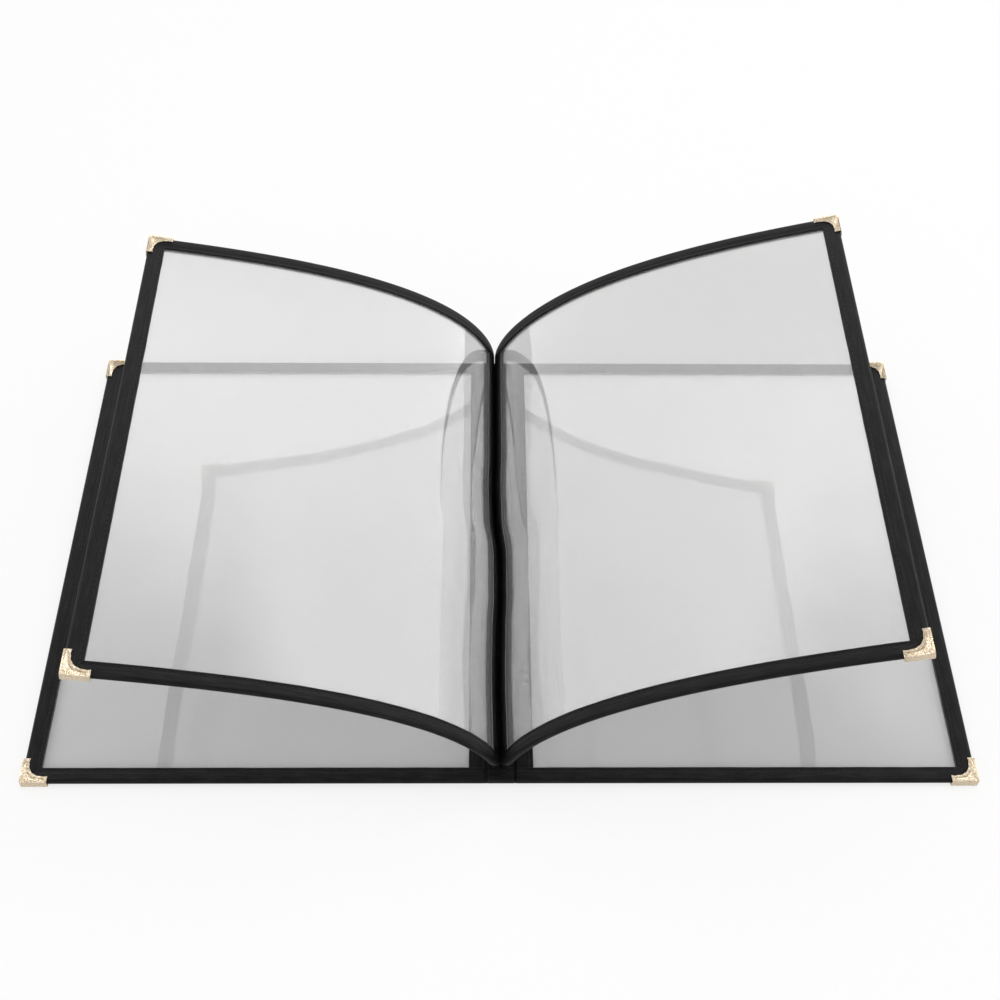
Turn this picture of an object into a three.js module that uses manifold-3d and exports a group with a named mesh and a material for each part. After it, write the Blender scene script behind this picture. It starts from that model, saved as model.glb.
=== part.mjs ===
// A cafe menu cover: a sewn booklet of four clear vinyl pockets, bound in folded leatherette tape.
// Two covers lie flat on the table, and two pages rise from the seam between them and curl outwards.
// X runs across the open spread, Y towards the head of the pages and Z up. The origin is on the
// table under the middle of the spine. Lengths are in millimetres and angles in degrees.

import * as THREE from 'three';
import { mergeVertices } from 'three/addons/utils/BufferGeometryUtils.js';
import Module from 'manifold-3d';

// Leaves: widths run from the middle of the spine to the outer edge, along the leaf
const COVER_WIDTH = 249;
const PAGE_WIDTH = 243.5;
const LEAF_HEIGHT = 300;

// Vinyl pocket: two clear sheets with room between them for the menu card
const SHEET = 0.35;
const POCKET = 0.5;

// Leatherette tape, folded over the edges of the pocket
const TAPE = 0.7;
const BINDING_WIDTH = 8.5;
const SIDE_BINDING_WIDTH = 9.5;
const FOLD_LINE = 8.5; // from the middle of the spine to the line that a cover folds on
const COVER_SPINE_BINDING = 10.1; // from its round edge on the fold line to the window
const PAGE_SPINE_BINDING = 17; // from its round edge at the seam to the window
const SPINE_TUCK = 6.4; // how far the back sheet reaches into a spine binding

// Page curl: upright as far as the seam holds it, then falling to the slope that it tends to
const SEAM_SLOPE = 90;
const SEAM_RISE = 6;
const CURL_POWER = 0.75; // below 1, most of the bend is close to the seam
const LEFT_EDGE_SLOPE = 5;
const LEFT_BEND = 54.3;
const RIGHT_EDGE_SLOPE = 8.2;
const RIGHT_BEND = 63.2;

// Stamped brass corner
const BRASS = 0.4;
const CORNER_ARM = 13.5;
const CORNER_ARM_WIDTH = 3.2;
const CORNER_PULL = 2.1; // how far out the plate's hollow inner edge is drawn into the corner
const CORNER_RADIUS = 0.8;
const SCALLOPS = 5;
const SCALLOP_DEPTH = 0.45;

// Gap between pieces that touch
const CLEARANCE = 0.3;

// Facet sizes
const CURL_STEP = 5;
const FOLD_FACETS = 6;
const ROUND_END = [25, 55, 90]; // angles round the thinned end of an edge binding
const SCALLOP_FACETS = 3;

// Sizes that follow from those above
const LEAF = 2 * (TAPE + CLEARANCE + SHEET) + POCKET;
const MITRE = SIDE_BINDING_WIDTH / BINDING_WIDTH;
const MITRE_GAP = (CLEARANCE * Math.hypot(1, MITRE)) / (1 + MITRE);
const SPINE_HALF = LEAF_HEIGHT / 2 - BINDING_WIDTH - CLEARANCE;
const COVER_Z = BRASS + CLEARANCE + LEAF / 2;
const SEAM_X = (LEAF + CLEARANCE) / 2;
const SEAM_Z = COVER_Z + LEAF / 2 + CLEARANCE;
const SHEET_EDGE = LEAF / 2 + CLEARANCE;
const FOLD_EDGE = FOLD_LINE - LEAF / 2;

const VINYL = { color: 0xe2e5e8, roughness: 0.06, metalness: 0, transparent: true, opacity: 0.35 };
const LEATHERETTE = { color: 0x2a2a2c, roughness: 0.55, metalness: 0 };
const PALE_BRASS = { color: 0xd8c79a, roughness: 0.28, metalness: 1 };

const manifold = await Module();
manifold.setup();

// Slope of a page, in radians, at a distance along its curl
function slopeAt(curl, s) {
  const past = Math.max(0, s - SEAM_RISE) / curl.bend;
  const slope = curl.edge + (SEAM_SLOPE - curl.edge) * Math.exp(-(past ** CURL_POWER));
  return THREE.MathUtils.degToRad(slope);
}

// Middle of a page's thickness at a distance along its curl, added up in short straight steps
function curledAt(curl, s) {
  const steps = Math.max(1, Math.ceil(s));
  const step = s / steps;
  let x = SEAM_X;
  let z = SEAM_Z;
  for (let i = 0; i < steps; i += 1) {
    const slope = slopeAt(curl, (i + 0.5) * step);
    x += step * Math.cos(slope);
    z += step * Math.sin(slope);
  }
  return { x, z, slope: slopeAt(curl, s) };
}

// A leaf of the booklet: which side it lies on, where its tapes and its windows begin, its width,
// and its shape
function flatLeaf(side) {
  const spine = FOLD_EDGE + COVER_SPINE_BINDING;
  const at = (s) => ({ x: s, z: COVER_Z, slope: 0 });
  return { side, start: FOLD_EDGE, spine, width: COVER_WIDTH, curled: false, at };
}

function curledLeaf(side, curl) {
  const at = (s) => curledAt(curl, s);
  return { side, start: 0, spine: PAGE_SPINE_BINDING, width: PAGE_WIDTH, curled: true, at };
}

// Point of a leaf at s across it, y along the spine and t above the middle of its thickness
function place(leaf, s, y, t) {
  const mid = leaf.at(s);
  const x = mid.x - t * Math.sin(mid.slope);
  return new THREE.Vector3(leaf.side * x, y, mid.z + t * Math.cos(mid.slope));
}

// Distances from one end to the other, with the shared steps of a curled leaf between them
function stations(leaf, from, to) {
  const between = [];
  if (leaf.curled) {
    const first = CURL_STEP * (Math.floor(from / CURL_STEP) + 1);
    for (let s = first; s < to; s += CURL_STEP) between.push(s);
  }
  return [from, ...between, to];
}

// Six times the volume inside a closed mesh, negative when its faces point inwards
function signedVolume(points, faces) {
  return faces.reduce((sum, [a, b, c]) => {
    const cross = new THREE.Vector3().crossVectors(points[b], points[c]);
    return sum + points[a].dot(cross);
  }, 0);
}

// Closed solid through a row of rings, each the same outline moved to its place, capped at both ends
function loft(outline, rings) {
  const count = outline.length;
  const faces = [];
  for (let k = 0; k + 1 < rings.length; k += 1) {
    for (let i = 0; i < count; i += 1) {
      const a = k * count + i;
      const b = k * count + ((i + 1) % count);
      faces.push([a, b, b + count], [a, b + count, a + count]);
    }
  }
  const last = (rings.length - 1) * count;
  for (const [a, b, c] of THREE.ShapeUtils.triangulateShape(outline, [])) {
    faces.push([c, b, a], [last + a, last + b, last + c]);
  }
  const points = rings.flat();
  if (signedVolume(points, faces) < 0) faces.forEach((face) => face.reverse());
  const geometry = new THREE.BufferGeometry().setFromPoints(points);
  geometry.setIndex(faces.flat());
  geometry.computeVertexNormals();
  return geometry;
}

// Half round of a folded tape edge, from its top to its bottom, centred half a leaf inside the fold
function foldPoints() {
  const points = [];
  for (let i = 0; i <= FOLD_FACETS; i += 1) {
    const angle = Math.PI * (0.5 + i / FOLD_FACETS);
    const x = LEAF / 2 + (LEAF / 2) * Math.cos(angle);
    points.push(new THREE.Vector2(x, (LEAF / 2) * Math.sin(angle)));
  }
  return points;
}

// Straight run of points along a wall of the tape, with the shared steps of a curled leaf
function wallPoints(leaf, from, to, t) {
  const run = stations(leaf, Math.min(from, to), Math.max(from, to));
  if (from > to) run.reverse();
  return run.map((x) => new THREE.Vector2(x, t));
}

// Section of a folded tape: round at its fold, open at its other edge for vinyl to a given depth
function channelSection(leaf, width, depth) {
  const outer = LEAF / 2;
  const inner = outer - TAPE;
  const bottom = width - depth;
  return [
    ...wallPoints(leaf, width, outer, outer).slice(0, -1),
    ...foldPoints(),
    ...wallPoints(leaf, outer, width, -outer).slice(1),
    ...wallPoints(leaf, width, bottom, -inner),
    ...wallPoints(leaf, bottom, width, inner),
  ];
}

// Section of a flat tape folded on itself, with no vinyl in it
function barSection(width) {
  return [
    new THREE.Vector2(width, LEAF / 2),
    ...foldPoints(),
    new THREE.Vector2(width, -LEAF / 2),
  ];
}

// Section of the binding round the head, foot and outer edges
function edgeSection(width) {
  return channelSection({ curled: false }, width, width - LEAF / 2);
}

// Binding along the head or the foot, from its round end at the spine to the mitre at the corner
function edgeBinding(leaf, end) {
  const outline = edgeSection(BINDING_WIDTH);
  const ring = (s, thickness) => outline.map(({ x, y }) => {
    return place(leaf, s, end * (LEAF_HEIGHT / 2 - x), y * thickness);
  });
  const roundEnd = ROUND_END.map(THREE.MathUtils.degToRad).map((angle) => {
    return ring(leaf.start + (LEAF / 2) * (1 - Math.cos(angle)), Math.sin(angle));
  });
  const last = leaf.width - SIDE_BINDING_WIDTH - MITRE_GAP;
  const run = stations(leaf, leaf.start + LEAF / 2, last).slice(1, -1);
  const mitre = outline.map(({ x, y }) => {
    return place(leaf, leaf.width - x * MITRE - MITRE_GAP, end * (LEAF_HEIGHT / 2 - x), y);
  });
  return loft(outline, [...roundEnd, ...run.map((s) => ring(s, 1)), mitre]);
}

// Binding along the outer edge, mitred at both ends
function sideBinding(leaf) {
  const outline = edgeSection(SIDE_BINDING_WIDTH);
  const ring = (end) => outline.map(({ x, y }) => {
    return place(leaf, leaf.width - x, end * (LEAF_HEIGHT / 2 - x / MITRE - MITRE_GAP), y);
  });
  return loft(outline, [ring(-1), ring(1)]);
}

// Tape parallel to the spine between the head and foot bindings, starting at s
function spineTape(leaf, outline, s) {
  const ring = (end) => outline.map(({ x, y }) => place(leaf, s + x, end * SPINE_HALF, y));
  return loft(outline, [ring(-1), ring(1)]);
}

// Short binding over the end of a seam tape, level with the cover's head or foot binding
function seamEnd(leaf, end) {
  const outline = barSection(BINDING_WIDTH);
  const ring = (s) => outline.map(({ x, y }) => place(leaf, s, end * (LEAF_HEIGHT / 2 - x), y));
  return loft(outline, [ring(CLEARANCE / 2), ring(FOLD_EDGE - CLEARANCE)]);
}

// One sheet of the pocket, on the front or the back of the leaf, starting at s
function vinylSheet(leaf, face, from) {
  const half = LEAF_HEIGHT / 2 - SHEET_EDGE;
  const low = (face * (POCKET + SHEET) - SHEET) / 2;
  const outline = [[-half, low], [half, low], [half, low + SHEET], [-half, low + SHEET]]
    .map(([y, t]) => new THREE.Vector2(y, t));
  const ring = (s) => outline.map(({ x, y }) => place(leaf, s, x, y));
  return loft(outline, stations(leaf, from, leaf.width - SHEET_EDGE).map(ring));
}

function solidOf(geometry) {
  const bare = geometry.clone();
  bare.deleteAttribute('normal');
  bare.deleteAttribute('uv');
  const merged = mergeVertices(bare);
  const vertProperties = new Float32Array(merged.attributes.position.array);
  const triVerts = new Uint32Array(merged.index.array);
  return new manifold.Manifold(new manifold.Mesh({ numProp: 3, vertProperties, triVerts }));
}

function geometryOf(solid) {
  const { vertProperties, triVerts } = solid.getMesh();
  const geometry = new THREE.BufferGeometry();
  geometry.setAttribute('position', new THREE.BufferAttribute(vertProperties, 3));
  geometry.setIndex(new THREE.BufferAttribute(triVerts, 1));
  geometry.computeVertexNormals();
  return geometry;
}

// Outline of the corner's plate: two arms, with a hollow scalloped edge between their ends
function cornerOutline() {
  const out = -(CLEARANCE + BRASS);
  const tip = new THREE.Vector2(CORNER_ARM, CORNER_ARM_WIDTH);
  const pull = new THREE.Vector2(CORNER_PULL, CORNER_PULL);
  const hollow = new THREE.QuadraticBezierCurve(tip, pull, new THREE.Vector2(tip.y, tip.x));
  const cusps = hollow.getSpacedPoints(SCALLOPS);
  const shape = new THREE.Shape();
  shape.moveTo(out + CORNER_RADIUS, out);
  shape.lineTo(CORNER_ARM, out);
  shape.lineTo(tip.x, tip.y);
  for (let i = 1; i <= SCALLOPS; i += 1) {
    const middle = cusps[i - 1].clone().add(cusps[i]).multiplyScalar(0.5);
    const dip = Math.SQRT2 * SCALLOP_DEPTH;
    shape.quadraticCurveTo(middle.x - dip, middle.y - dip, cusps[i].x, cusps[i].y);
  }
  shape.lineTo(out, CORNER_ARM);
  shape.lineTo(out, out + CORNER_RADIUS);
  shape.absarc(out + CORNER_RADIUS, out + CORNER_RADIUS, CORNER_RADIUS, Math.PI, 1.5 * Math.PI);
  return shape;
}

// Brass corner with its arms along +X and +Y, and the leaf's corner at its origin
function cornerGeometry() {
  const depth = LEAF + 2 * (CLEARANCE + BRASS);
  const options = { depth, bevelEnabled: false, curveSegments: SCALLOP_FACETS };
  const block = new THREE.ExtrudeGeometry(cornerOutline(), options).translate(0, 0, -depth / 2);
  const reach = 2 * CORNER_ARM;
  const cavity = new THREE.BoxGeometry(reach, reach, LEAF + 2 * CLEARANCE);
  cavity.translate(reach / 2 - CLEARANCE, reach / 2 - CLEARANCE, 0);
  return geometryOf(solidOf(block).subtract(solidOf(cavity)));
}

function named(name, geometry, finish) {
  const mesh = new THREE.Mesh(geometry, new THREE.MeshStandardMaterial(finish));
  mesh.name = name;
  return mesh;
}

// Both brass corners of a leaf, in a group that lies on the leaf's outer edge
function brassCorners(name, leaf) {
  const middle = place(leaf, leaf.width - CORNER_ARM / 2, 0, 0);
  const { slope } = leaf.at(leaf.width - CORNER_ARM / 2);
  const edge = new THREE.Group();
  edge.position.copy(middle);
  edge.rotation.y = -leaf.side * slope;
  const geometry = cornerGeometry();
  for (const [end, word] of [[1, 'head'], [-1, 'foot']]) {
    const corner = named(`${name}_${word}_corner`, geometry, PALE_BRASS);
    corner.position.set((leaf.side * CORNER_ARM) / 2, (end * LEAF_HEIGHT) / 2, 0);
    corner.rotation.z = Math.atan2(-end, -leaf.side) - Math.PI / 4;
    edge.add(corner);
  }
  return edge;
}

// The pieces that every leaf has beyond its spine binding
function leafPieces(name, leaf) {
  const group = new THREE.Group();
  group.add(
    named(`${name}_front_window`, vinylSheet(leaf, 1, leaf.spine + CLEARANCE), VINYL),
    named(`${name}_back_window`, vinylSheet(leaf, -1, leaf.spine - SPINE_TUCK), VINYL),
    named(`${name}_head_binding`, edgeBinding(leaf, 1), LEATHERETTE),
    named(`${name}_foot_binding`, edgeBinding(leaf, -1), LEATHERETTE),
    named(`${name}_side_binding`, sideBinding(leaf), LEATHERETTE),
    brassCorners(name, leaf),
  );
  return group;
}

// One half of the booklet: its cover, its page, and the tapes that hold both to the seam
function half(word, side, curl) {
  const cover = flatLeaf(side);
  const page = curledLeaf(side, curl);
  const depth = SPINE_TUCK + CLEARANCE;
  const coverBinding = channelSection(cover, COVER_SPINE_BINDING, depth);
  const pageBinding = channelSection(page, PAGE_SPINE_BINDING, depth);
  const seamTape = barSection(FOLD_EDGE - CLEARANCE - CLEARANCE / 2);
  const group = new THREE.Group();
  group.add(
    named(`${word}_seam_tape`, spineTape(cover, seamTape, CLEARANCE / 2), LEATHERETTE),
    named(`${word}_seam_head_binding`, seamEnd(cover, 1), LEATHERETTE),
    named(`${word}_seam_foot_binding`, seamEnd(cover, -1), LEATHERETTE),
    named(`${word}_cover_spine_binding`, spineTape(cover, coverBinding, FOLD_EDGE), LEATHERETTE),
    named(`${word}_page_spine_binding`, spineTape(page, pageBinding, 0), LEATHERETTE),
    leafPieces(`${word}_cover`, cover),
    leafPieces(`${word}_page`, page),
  );
  return group;
}

const menuCover = new THREE.Group();
menuCover.add(
  half('left', -1, { edge: LEFT_EDGE_SLOPE, bend: LEFT_BEND }),
  half('right', 1, { edge: RIGHT_EDGE_SLOPE, bend: RIGHT_BEND }),
);

export default menuCover;
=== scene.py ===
"""Dresses the menu cover: clear vinyl pockets, stitched leatherette tape, stamped brass corners.

Every leaf is built from one description of its shape, so the vinyl, the tape, the stitches and the
brass all follow the same flat cover or curled page. Lengths are in millimetres until a mesh is
made.
"""

from __future__ import annotations

import logging
import math
from collections.abc import Callable, Iterable, Sequence
from dataclasses import dataclass, field
from enum import Enum
from functools import lru_cache

import bmesh
import bpy
from mathutils import Matrix, Vector, noise

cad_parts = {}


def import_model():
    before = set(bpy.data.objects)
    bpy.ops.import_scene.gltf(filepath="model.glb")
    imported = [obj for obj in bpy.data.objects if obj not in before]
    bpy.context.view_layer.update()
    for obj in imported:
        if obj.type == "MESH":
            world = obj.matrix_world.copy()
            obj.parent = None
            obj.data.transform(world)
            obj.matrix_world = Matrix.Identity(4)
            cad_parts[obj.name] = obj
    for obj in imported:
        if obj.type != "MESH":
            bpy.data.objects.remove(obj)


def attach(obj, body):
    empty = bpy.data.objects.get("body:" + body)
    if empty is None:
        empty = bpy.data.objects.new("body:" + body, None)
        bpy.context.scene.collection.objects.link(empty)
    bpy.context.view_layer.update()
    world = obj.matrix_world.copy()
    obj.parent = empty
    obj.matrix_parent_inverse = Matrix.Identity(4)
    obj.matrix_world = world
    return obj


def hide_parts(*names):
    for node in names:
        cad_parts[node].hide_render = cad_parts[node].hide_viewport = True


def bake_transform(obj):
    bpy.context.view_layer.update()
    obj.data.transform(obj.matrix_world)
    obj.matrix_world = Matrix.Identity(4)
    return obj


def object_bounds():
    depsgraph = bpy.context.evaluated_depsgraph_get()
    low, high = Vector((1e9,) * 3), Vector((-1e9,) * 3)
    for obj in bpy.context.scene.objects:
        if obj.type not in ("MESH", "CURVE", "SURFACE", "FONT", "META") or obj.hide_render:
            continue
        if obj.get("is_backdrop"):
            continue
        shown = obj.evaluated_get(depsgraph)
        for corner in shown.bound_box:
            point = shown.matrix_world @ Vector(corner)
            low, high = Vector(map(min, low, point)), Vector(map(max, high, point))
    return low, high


MM = 0.001
IMAGE_SIDE = 1000
SENSOR_MM = 36.0

log = logging.getLogger("menu_cover")

Value = float | Sequence[float] | bpy.types.NodeSocket


class Named(Enum):
    """A choice that the frame's nodes name in lower case."""

    @property
    def word(self) -> str:
        """The choice as the nodes write it."""
        return self.name.lower()


class Side(Named):
    """The half of the open booklet that a leaf lies on."""

    LEFT = -1
    RIGHT = 1


class End(Named):
    """The end of the spine that a binding or a corner lies at."""

    FOOT = -1
    HEAD = 1


class Face(Named):
    """The side of a leaf: the front faces the reader of the open booklet."""

    BACK = -1
    FRONT = 1


@dataclass(frozen=True)
class Stock:
    """Sizes of the sheet, tape and brass that the booklet is made from, in millimetres."""

    sheet: float = 0.35
    pocket: float = 0.5
    tape: float = 0.7
    gap: float = 0.3
    hair: float = 0.04
    slit: float = 0.01
    leaf: float = 3.2
    height: float = 300.0
    cover_width: float = 249.0
    page_width: float = 243.5
    window_begin: float = 17.0
    binding: float = 8.5
    side_binding: float = 9.5
    spine_tuck: float = 6.4
    fold_line: float = 8.5
    brass: float = 0.4
    corner_arm: float = 13.5
    corner_arm_width: float = 3.2
    corner_pull: float = 2.1

    @property
    def half(self) -> float:
        """Half the thickness of a bound leaf."""
        return self.leaf / 2

    @property
    def mitre(self) -> float:
        """How much wider the side tape is than the head and foot tapes."""
        return self.side_binding / self.binding

    @property
    def fold(self) -> float:
        """From the middle of the spine to the round edge of a cover's tapes."""
        return self.fold_line - self.half

    @property
    def sheet_edge(self) -> float:
        """How far inside the leaf's outline the vinyl ends."""
        return self.half + self.gap


STOCK = Stock()


def ease(share: float) -> float:
    """Eases a share smoothly from 0 to 1, and holds it there on either side."""
    share = min(1.0, max(0.0, share))
    return share * share * (3 - 2 * share)


@dataclass(frozen=True)
class LeafShape:
    """The run of a leaf across the spread, flat on the table or curled up from the seam.

    Attributes:
        side: The half of the spread that it lies on.
        width: From the middle of the spine to the outer edge, along the leaf.
        begin: Where its tapes begin.
        spine: Where its windows begin.
        start: Where the leaf's line starts, across and up.
        seam_slope: Slope at the spine, in degrees.
        edge_slope: Slope that the curl tends to at the outer edge, in degrees.
        bend: Length over which the bend dies away.
        rise: Length over which the seam holds it upright.
        power: Below 1, most of the bend is close to the seam.
        still: Across and up, where the page's turning begins to bend it.
        turned: Across and up, where it follows the page's turning fully.
        drawn_in: How far the seam has drawn its foot in along the spine.
        drawn_over: Distance from the spine over which that dies away.
        wander_over: Distance from the spine over which the seam's wander dies away.
    """

    side: Side
    width: float
    begin: float
    spine: float
    start: tuple[float, float]
    seam_slope: float = 0.0
    edge_slope: float = 0.0
    bend: float = 1.0
    rise: float = 6.0
    power: float = 0.75
    still: tuple[float, float] = (0.0, 0.0)
    turned: tuple[float, float] = (0.0, 0.0)
    drawn_in: float = 8.0
    drawn_over: float = 20.0
    wander_over: float = 40.0

    @property
    def curled(self) -> bool:
        """Whether the leaf rises from the seam."""
        return self.seam_slope > 0

    def slope(self, s: float) -> float:
        """Slope of the leaf at a distance from the spine.

        Args:
            s: The distance, along the leaf.

        Returns:
            The slope, in radians.
        """
        past = max(0.0, s - self.rise) / self.bend
        fall = (self.seam_slope - self.edge_slope) * math.exp(-(past**self.power))
        return math.radians(self.edge_slope + fall)

    def middle(self, s: float) -> tuple[float, float, float]:
        """How far across and up the leaf's line is at a distance from the spine, and its slope."""
        return _middle(self, round(s, 4))

    def place(self, s: float, y: float, t: float) -> Vector:
        """Point of the leaf in the frame, in metres.

        Args:
            s: Distance from the spine, along the leaf.
            y: Distance along the spine.
            t: Distance above the middle of the leaf's thickness, towards the reader.

        Returns:
            The point.
        """
        across, up, slope = self.middle(s)
        x = self.side.value * (across - t * math.sin(slope))
        if self.curled:
            x += seam_wander(y) * math.exp(-((s / self.wander_over) ** 2))
            drawn = self.drawn_in * (1 - ease(s / self.drawn_over))
            y += drawn * max(0.0, -y) / (STOCK.height / 2)
        return MM * Vector((x, y, up + t * math.cos(slope)))


# Distance along the spine, from foot to head, and how far the pages' seam has wandered to the right
WANDER = (
    (-150, -0.5),
    (-95, -1.3),
    (-68, -0.8),
    (-45, 0.3),
    (-17, 0.3),
    (10, -2.5),
    (32, -3.0),
    (60, -2.3),
    (150, -2.0),
)


@lru_cache(maxsize=None)
def seam_wander(y: float) -> float:
    """How far the soft seam has wandered to the right.

    Args:
        y: Distance along the spine.

    Returns:
        Distance to the right.
    """
    for (low, first), (high, last) in zip(WANDER, WANDER[1:]):
        if y <= high:
            return first + (last - first) * ease((y - low) / (high - low))
    return WANDER[-1][1]


@lru_cache(maxsize=None)
def _middle(shape: LeafShape, s: float) -> tuple[float, float, float]:
    """Adds up the leaf's line in short straight steps.

    Args:
        shape: The leaf.
        s: Distance from the spine, along the leaf.

    Returns:
        How far across and up the middle of the leaf is, and its slope in radians.
    """
    across, up = shape.start
    if not shape.curled:
        return across + s, up, 0.0
    steps = max(1, math.ceil(abs(s)))
    for i in range(steps):
        slope = shape.slope((i + 0.5) * s / steps)
        across += math.cos(slope) * s / steps
        up += math.sin(slope) * s / steps
    return across, up, shape.slope(s)


def srgb(code: str) -> tuple[float, float, float, float]:
    """Turns a colour as written, such as "#D8C79A", to linear.

    Args:
        code: Six hexadecimal digits after a hash.

    Returns:
        Red, green, blue and an alpha of 1.
    """
    values = [int(code[i : i + 2], 16) / 255 for i in (1, 3, 5)]
    linear = [v / 12.92 if v <= 0.04045 else ((v + 0.055) / 1.055) ** 2.4 for v in values]
    return (*linear, 1.0)


WHITE = srgb("#FFFFFF")


class Nodes:
    """Adds nodes to a tree. Any value of theirs may be the socket that gives it."""

    def __init__(self, tree: bpy.types.NodeTree) -> None:
        """Takes the tree that they are added to."""
        self.tree = tree

    def add(self, kind: str, inputs: dict | None = None, **settings) -> bpy.types.Node:
        """Adds a node.

        Args:
            kind: The node's type, such as "ShaderNodeMix".
            inputs: Socket name or number to a value.
            settings: Attributes of the node.

        Returns:
            The node.
        """
        made = self.tree.nodes.new(kind)
        for name, value in settings.items():
            setattr(made, name, value)
        for key, value in (inputs or {}).items():
            if isinstance(value, bpy.types.NodeSocket):
                self.tree.links.new(value, made.inputs[key])
            else:
                made.inputs[key].default_value = value
        return made

    def get(self, kind: str, inputs: dict | None = None, **settings) -> bpy.types.NodeSocket:
        """Adds a node and gives its first output."""
        return self.add(kind, inputs, **settings).outputs[0]

    def sum(self, operation: str, *values: Value, clamp: bool = False) -> bpy.types.NodeSocket:
        """Does one sum, such as "MAXIMUM"."""
        inputs = dict(enumerate(values))
        return self.get("ShaderNodeMath", inputs, operation=operation, use_clamp=clamp)

    def ramp(
        self, value: Value, start: float, stop: float, low: Value, high: Value, kind: str = "LINEAR"
    ) -> bpy.types.NodeSocket:
        """Runs from low to high while the value runs from start to stop."""
        span = {"From Min": start, "From Max": stop, "To Min": low, "To Max": high}
        return self.get("ShaderNodeMapRange", {"Value": value, **span}, interpolation_type=kind)

    def colour(self, share: Value, first: Value, second: Value) -> bpy.types.NodeSocket:
        """Mixes two colours."""
        inputs = {"Factor": share, 6: first, 7: second}
        return self.add("ShaderNodeMix", inputs, data_type="RGBA").outputs[2]

    def number(self, share: Value, first: Value, second: Value) -> bpy.types.NodeSocket:
        """Mixes two numbers."""
        return self.get("ShaderNodeMix", {"Factor": share, 2: first, 3: second}, data_type="FLOAT")

    def noise(self, place: Value, grain_mm: float, detail: float, **more) -> bpy.types.NodeSocket:
        """Makes noise of that grain."""
        inputs = {"Vector": place, "Scale": 1 / (grain_mm * MM), "Detail": detail, **more}
        return self.get("ShaderNodeTexNoise", inputs)

    def bump(self, height: Value, strength: float, deep_mm: float, **more) -> bpy.types.NodeSocket:
        """Makes relief that deep, over another Normal if one is given."""
        inputs = {"Height": height, "Strength": strength, "Distance": deep_mm * MM, **more}
        return self.get("ShaderNodeBump", inputs)


class MaterialNodes(Nodes):
    """The nodes of a new material."""

    def __init__(self, name: str) -> None:
        """Makes the material, with only its output node.

        Args:
            name: The material's name.
        """
        self.material = bpy.data.materials.new(name)
        self.material.use_nodes = True
        super().__init__(self.material.node_tree)
        self.tree.nodes.clear()
        self.output = self.tree.nodes.new("ShaderNodeOutputMaterial")

    def finish(self, kind: str, inputs: dict) -> bpy.types.Material:
        """Gives the material its shader, and returns the material."""
        self.tree.links.new(self.get(kind, inputs), self.output.inputs["Surface"])
        return self.material


@dataclass(frozen=True)
class ClearVinyl:
    """Plasticised PVC sheet, calendered: clear with a cool grey cast, glossy, and never quite flat.

    Each face mirrors by Fresnel and passes the rest, so light and shadow go through to the floor.
    """

    tint: str = "#FCFCFC"
    haze_colour: str = "#E9E9E9"
    haze: float = 0.062
    ior: float = 1.53
    gloss: float = 0.03
    ripple_mm: float = 70.0
    ripple: float = 0.16
    ripple_depth_mm: float = 2.0

    def build(self) -> bpy.types.Material:
        """Builds the finish.

        Returns:
            The material.
        """
        nodes = MaterialNodes("calendered clear vinyl")
        place = nodes.add("ShaderNodeTexCoord").outputs["Object"]
        ripples = nodes.noise(place, self.ripple_mm, detail=1.5, Roughness=0.4)
        bump = nodes.bump(ripples, self.ripple, self.ripple_depth_mm)
        clear = nodes.get("ShaderNodeBsdfTransparent", {"Color": srgb(self.tint)})
        cloudy = nodes.get("ShaderNodeBsdfDiffuse", {"Color": srgb(self.haze_colour)})
        body = nodes.get("ShaderNodeMixShader", {0: self.haze, 1: clear, 2: cloudy})
        gloss = {"Color": WHITE, "Roughness": self.gloss, "Normal": bump}
        mirror = nodes.get("ShaderNodeBsdfAnisotropic", gloss)
        # Schlick's rule on the slant of the view, which is the same going in and coming out
        slant = nodes.add("ShaderNodeLayerWeight", {"Blend": 0.5}).outputs["Facing"]
        steep = nodes.sum("POWER", slant, 5.0)
        least = ((self.ior - 1) / (self.ior + 1)) ** 2
        share = nodes.ramp(steep, 0.0, 1.0, least, 1.0)
        return nodes.finish("ShaderNodeMixShader", {0: share, 1: body, 2: mirror})


@dataclass(frozen=True)
class CutVinyl:
    """The cut edge of a vinyl sheet: the bright line of light that it gathers from inside is
    painted as a pale grey, half-clear colour.
    """

    colour: str = "#9CA0A3"
    alpha: float = 0.55

    def build(self) -> bpy.types.Material:
        """Builds the finish.

        Returns:
            The material.
        """
        nodes = MaterialNodes("cut vinyl edge")
        inputs = {"Base Color": srgb(self.colour), "Roughness": 0.2, "Alpha": self.alpha}
        return nodes.finish("ShaderNodeBsdfPrincipled", inputs)


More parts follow.
